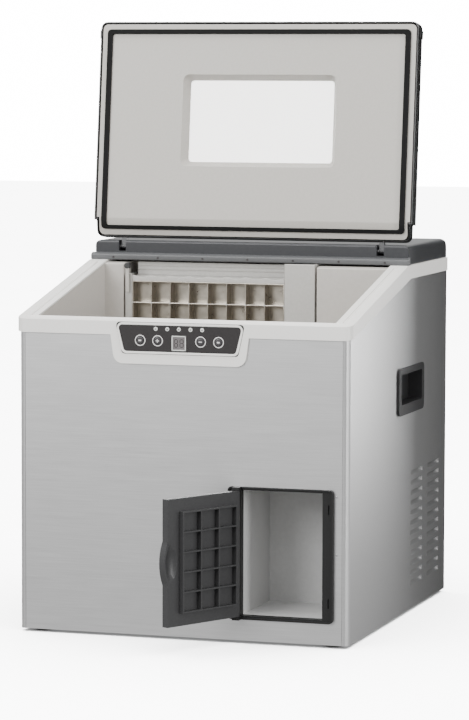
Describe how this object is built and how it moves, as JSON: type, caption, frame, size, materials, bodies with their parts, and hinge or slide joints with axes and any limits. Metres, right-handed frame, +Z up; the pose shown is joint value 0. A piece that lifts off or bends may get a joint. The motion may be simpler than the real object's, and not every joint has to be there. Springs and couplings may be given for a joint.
{
  "type": "countertop ice maker",
  "caption": "Countertop ice maker: steel cabinet with a cube bin under a windowed tilting lid, a sloping rim with controls, and a crushed-ice box behind a small hinged door.",
  "frame": {"origin": "centre of the whole object's footprint, on the surface the feet stand on, with the lid and the door open", "axes": "+Z up, -Y out of the front face with the controls, +X towards the side the door's box is on (the right seen from the front)"},
  "size_m": [0.4402, 0.6168, 0.769],
  "materials": {
    "stainless": "brushed",
    "galvanised": "satin",
    "rim_white": "semi-gloss",
    "liner_grey": "semi-gloss",
    "panel_grey": "satin",
    "foam": "matt, cellular",
    "cover_dark": "gloss",
    "lid_black": "gloss",
    "rubber": "matt",
    "clear": "clear, polished",
    "door_grey": "satin",
    "overlay": "satin",
    "button": "satin",
    "light": "gloss",
    "display": "gloss",
    "board": "semi-gloss",
    "white_plastic": "semi-gloss",
    "plated": "plated",
    "copper": "drawn tube",
    "steel": "machined",
    "black_paint": "satin paint",
    "aluminium": "plain",
    "tank": "translucent"
  },
  "bodies": {
    "cabinet": {"base_pan": "galvanised", "bin_insulation": "foam", "bin_liner": "liner_grey", "compressor": "black_paint", "condenser": "aluminium", "control_board": "board", "control_overlay": "overlay", "cover_front_rail": "cover_dark", "crushed_ice_box": "white_plastic", "crusher_comb": "steel", "crusher_housing": "white_plastic", "crusher_motor": "black_paint", "display_window": "display", "door_frame": "door_grey", "door_hinge_pin": "steel", "drain_plug": "rubber", "evaporator_grid": "plated", "evaporator_surround": "white_plastic", "evaporator_tube": "copper", "fan_bracket": "galvanised", "fan_motor": "black_paint", "fan_shroud": "galvanised", "foot_front_left": "rubber", "foot_front_right": "rubber", "foot_rear_left": "rubber", "foot_rear_right": "rubber", "front_panel": "stainless", "handle_cup_left": "door_grey", "handle_cup_right": "door_grey", "indicator_light_1": "light", "indicator_light_2": "light", "indicator_light_3": "light", "indicator_light_4": "light", "indicator_light_5": "light", "left_side_panel": "stainless", "lid_hinge_pin_left": "steel", "lid_hinge_pin_right": "steel", "power_inlet": "black_paint", "rear_panel": "galvanised", "rear_top_cover": "cover_dark", "right_side_panel": "stainless", "top_trim": "rim_white", "water_distributor": "white_plastic", "water_inlet_valve": "white_plastic", "water_pump": "black_paint", "water_tank": "tank"},
    "lid": {"lid_shell": "lid_black", "lid_inner_panel": "panel_grey", "lid_insulation": "foam", "lid_window": "clear", "lid_gasket": "rubber", "lid_hinge_arm_left": "cover_dark", "lid_hinge_arm_right": "cover_dark"},
    "door": {"ice_door": "door_grey"},
    "fan": {"fan_blade": "white_plastic"},
    "crusher": {"crusher_rotor": "steel"},
    "button_power": {"button_power": "button"},
    "button_plus": {"button_plus": "button"},
    "button_minus": {"button_minus": "button"},
    "button_set": {"button_set": "button"}
  },
  "joints": [
    {"name": "lid_hinge", "type": "hinge", "parent": "cabinet", "child": "lid", "pos_m": [0, 0.10057, 0.4721], "axis": [1, 0, 0], "range_deg": [0, 108.75]},
    {"name": "door_hinge", "type": "hinge", "parent": "cabinet", "child": "door", "pos_m": [0.0745, -0.19563, 0.1135], "axis": [0, 0, 1], "range_deg": [-15, 118]},
    {"name": "fan_spin", "type": "hinge", "parent": "cabinet", "child": "fan", "pos_m": [0.1675, 0.21417, 0.0995], "axis": [1, 0, 0], "continuous": true},
    {"name": "crusher_spin", "type": "hinge", "parent": "cabinet", "child": "crusher", "pos_m": [0.13, -0.12763, 0.2141], "axis": [1, 0, 0], "continuous": true},
    {"name": "button_power_press", "type": "slide", "parent": "cabinet", "child": "button_power", "axis": [0, 1, 0], "range_m": [0, 0.0008], "stiffness_N_per_m": 400},
    {"name": "button_plus_press", "type": "slide", "parent": "cabinet", "child": "button_plus", "axis": [0, 1, 0], "range_m": [0, 0.0008], "stiffness_N_per_m": 400},
    {"name": "button_minus_press", "type": "slide", "parent": "cabinet", "child": "button_minus", "axis": [0, 1, 0], "range_m": [0, 0.0008], "stiffness_N_per_m": 400},
    {"name": "button_set_press", "type": "slide", "parent": "cabinet", "child": "button_set", "axis": [0, 1, 0], "range_m": [0, 0.0008], "stiffness_N_per_m": 400}
  ]
}
